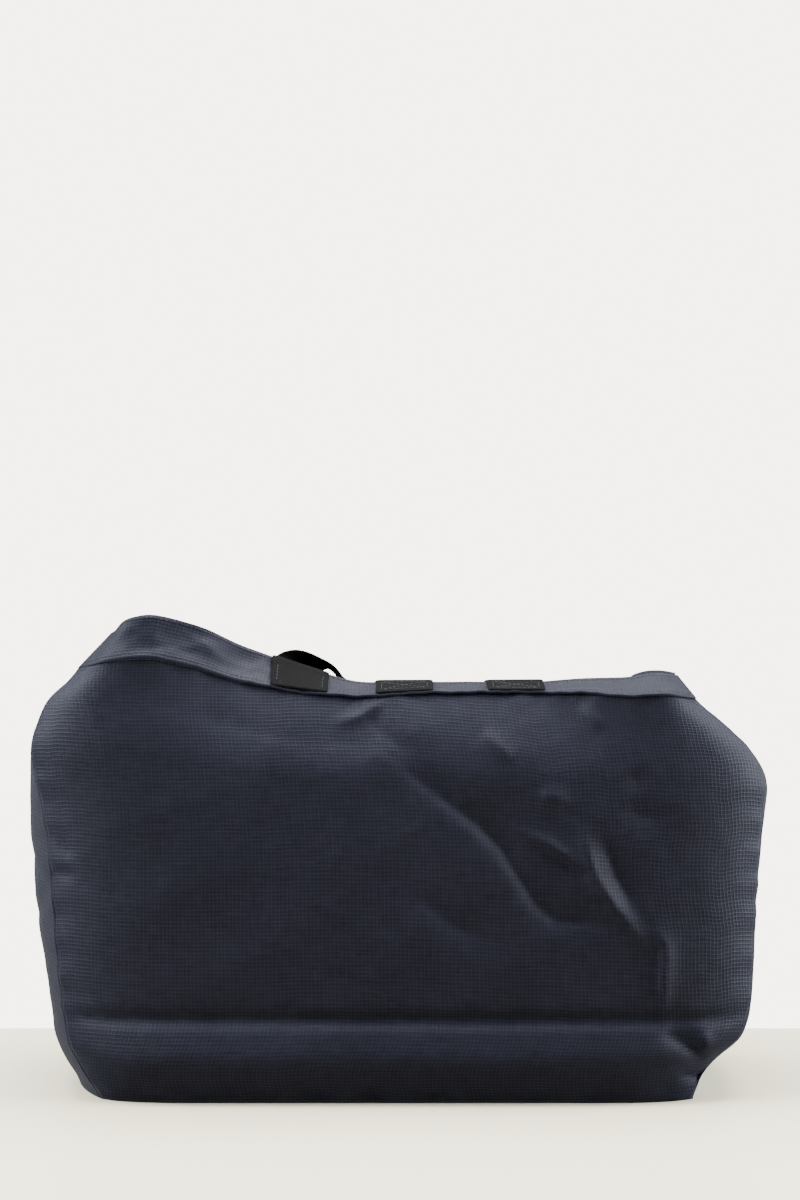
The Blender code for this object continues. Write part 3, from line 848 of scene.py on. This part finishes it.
def spline(stops, count):
    """A smooth curve through the stops, as evenly spaced points by stop number."""
    stops = np.asarray(stops, float)
    padded_stops = np.vstack((2 * stops[0] - stops[1], stops, 2 * stops[-1] - stops[-2]))
    where = np.linspace(0, len(stops) - 1 - 1e-9, count)
    base_at = where.astype(int)
    t = (where - base_at)[:, None]
    p0, p1, p2, p3 = (padded_stops[base_at + k] for k in range(4))
    square = (2 * p0 - 5 * p1 + 4 * p2 - p3) * t**2
    cube = (3 * p1 - p0 - 3 * p2 + p3) * t**3
    return 0.5 * (2 * p1 + (p2 - p0) * t + square + cube)


def strap(name, edges, rows):
    """Webbing between two edge lines, given as pairs of stops, with rounded selvedges."""
    left = spline([pair[0] for pair in edges], rows + 1)
    right = spline([pair[1] for pair in edges], rows + 1)
    made, along, across = cloth_grid(name, rows, 8)
    row = np.round((along + 1) / 2 * rows).astype(int)
    points = left[row] + (right[row] - left[row]) * across[:, None]
    lay_out(made, points)
    measure_cloth(made, across, along)
    thicken(made, WEBBING, 1)
    made.data.materials.append(black_webbing)
    return made


def sewn_stops(side, centre, half=WEBBING_WIDTH / 2):
    """Pairs of stops up a sewn end, from the seam to the rim."""
    pairs = []
    for up in (0.03, 0.35, 0.70, 1.0):
        pairs.append((on_hem(side, centre - half, up)[0], on_hem(side, centre + half, up)[0]))
    return pairs


HANG = -0.0517
CURL = (
    ((-0.0845, -0.0590, 0.2880), (-0.0480, -0.0520, 0.2712)),
    ((-0.0779, -0.0560, 0.2915), (-0.0554, -0.0300, 0.2700)),
    ((-0.0705, -0.0550, 0.2928), (-0.0577, -0.0240, 0.2714)),
    ((-0.0626, -0.0540, 0.2912), (-0.0550, -0.0210, 0.2760)),
    ((-0.0532, -0.0530, 0.2868), (-0.0496, -0.0180, 0.2790)),
    ((-0.0452, -0.0525, 0.2821), (-0.0455, -0.0160, 0.2766)),
    ((-0.0391, -0.0522, 0.2750), (-0.0425, -0.0155, 0.2725)),
    ((-0.0360, -0.0520, 0.2686), (-0.0401, -0.0155, 0.2670)),
    ((-0.0500, -0.0520, 0.2500), (-0.0390, -0.0190, 0.2500)),
    ((-0.0720, -0.0519, 0.2360), (-0.0450, -0.0300, 0.2420)),
)
LOOP_RADIUS = 0.072


def hanging_loop(y, level, first, last, count, swing=0.0):
    """Pairs of stops round the hanging half turn, from one angle to another, outer edge first."""
    pairs = []
    for angle in np.radians(np.linspace(first, last, count)):
        direction = np.array((np.cos(angle), 0.0, np.sin(angle)))
        middle = np.array((SHIFT[0], y + swing * np.sin(angle * 2), level))
        outer = middle + direction * (LOOP_RADIUS + WEBBING_WIDTH / 2)
        inner = middle + direction * (LOOP_RADIUS - WEBBING_WIDTH / 2)
        pairs.append((outer, inner))
    return pairs


def turned(pairs):
    return [(b, a) for a, b in reversed(pairs)]


half = WEBBING_WIDTH / 2
right_leg = (
    ((0.0725 + half, HANG, 0.2560), (0.0725 - half, HANG, 0.2560)),
    ((0.0730 + half, HANG - 0.0004, 0.2660), (0.0730 - half, HANG - 0.0004, 0.2665)),
    ((0.0745 + half, -0.0555, 0.2704), (0.0745 - half, -0.0555, 0.2712)),
)
front_handle = strap(
    "front_handle_strap",
    [
        *sewn_stops(-1, FRONT_LEFT),
        *CURL,
        *hanging_loop(HANG, 0.2493, 205, 352, 14, 0.002),
        *right_leg,
        *turned(sewn_stops(-1, FRONT_RIGHT)),
    ],
    220,
)
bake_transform(front_handle)
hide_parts("front_handle", "front_handle_end_left", "front_handle_end_right")


def over_rim(centre, top, hang_y, side):
    """Pairs of stops from the rim over to where a strap hangs straight."""
    out_y = hang_y + side * 0.0042
    return [
        ((centre - half, out_y, top + 0.0006), (centre + half, out_y, top + 0.0006)),
        ((centre - half, hang_y, top - 0.0030), (centre + half, hang_y, top - 0.0030)),
    ]


BACK_HANG = 0.0807
back_handle = strap(
    "back_handle_strap",
    [
        *sewn_stops(1, BACK_LEFT),
        *over_rim(BACK_LEFT, 0.2630, BACK_HANG, 1),
        *hanging_loop(BACK_HANG, 0.2313, 183, 357, 16, 0.0015),
        *turned(over_rim(BACK_RIGHT, 0.2610, BACK_HANG, 1)),
        *turned(sewn_stops(1, BACK_RIGHT)),
    ],
    200,
)
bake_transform(back_handle)
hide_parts("back_handle", "back_handle_end_left", "back_handle_end_right")


def box_stitch(side, centre):
    """A sewn rectangle with a cross in it, on the outside of one strap end."""
    reach, low, high = half - 0.004, 0.14, 0.78
    corners = ((-reach, low), (reach, low), (reach, high), (-reach, high), (-reach, low), (reach, high))
    paths = [corners, ((reach, low), (-reach, high))]
    rows = []
    for path in paths:
        for start, end in zip(path[:-1], path[1:]):
            steps = np.linspace(start, end, 9)
            found = [on_hem(side, centre + x, up, STANDOFF + WEBBING / 2) for x, up in steps]
            rows.append(([point for point, _ in found], [away for _, away in found]))
    return rows


front_rows = [row for x in (FRONT_LEFT, FRONT_MIDDLE, FRONT_RIGHT) for row in box_stitch(-1, x)]
front_sewing = sew("front_strap_stitching", front_rows)
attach(front_sewing, "front")
back_rows = [row for x in (BACK_LEFT, BACK_MIDDLE, BACK_RIGHT) for row in box_stitch(1, x)]
back_sewing = sew("back_strap_stitching", back_rows)
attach(back_sewing, "back")

# --------------------------------------------------------------------------------------------------
# Closure tabs: two short lengths of the same webbing in the middle of the mouth, each with half of
# a press snap. The snap's cap, socket, stud and post are pressed from dark plated brass.
FRONT_TAB_HANG = -0.0498
BACK_TAB_HANG = 0.0802


def straight_drop(y, heights):
    """Pairs of stops down a tab that hangs straight in the middle of the mouth."""
    return [((BACK_MIDDLE - half, y, z), (BACK_MIDDLE + half, y, z)) for z in heights]


front_tab = strap(
    "front_tab_strap",
    [
        *sewn_stops(-1, FRONT_MIDDLE),
        *over_rim(0.0015, 0.2700, FRONT_TAB_HANG, -1),
        *straight_drop(FRONT_TAB_HANG, (0.255, 0.237, 0.2191)),
    ],
    90,
)
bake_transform(front_tab)
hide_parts("front_tab", "front_tab_end")
back_tab = strap(
    "back_tab_strap",
    [
        *sewn_stops(1, BACK_MIDDLE),
        *over_rim(BACK_MIDDLE, 0.2620, BACK_TAB_HANG, 1),
        *straight_drop(BACK_TAB_HANG, (0.240, 0.222, 0.2035)),
    ],
    90,
)
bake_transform(back_tab)
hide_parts("back_tab", "back_tab_end")

snap_metal = Finish("dark_metal")
where = snap_metal.node("TexCoord", None, 3)
wear = snap_metal.noise(where, 420.0, 4.0, 0.6)
worn = wear.math("GREATER_THAN", 0.62)
snap_metal.feed(Base_Color=snap_metal.mix(wear, (0.055, 0.055, 0.060, 1), (0.150, 0.148, 0.150, 1)))
snap_metal.feed(Metallic=1.0, Roughness=0.30 + wear * 0.22 + worn * 0.08)
snap_metal.feed(Normal=snap_metal.node("Bump", None, 0, Strength=0.2, Distance=0.0001, Height=wear))
for node in ("snap_cap", "snap_socket", "snap_stud", "snap_post"):
    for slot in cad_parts[node].material_slots:
        slot.material = snap_metal.material
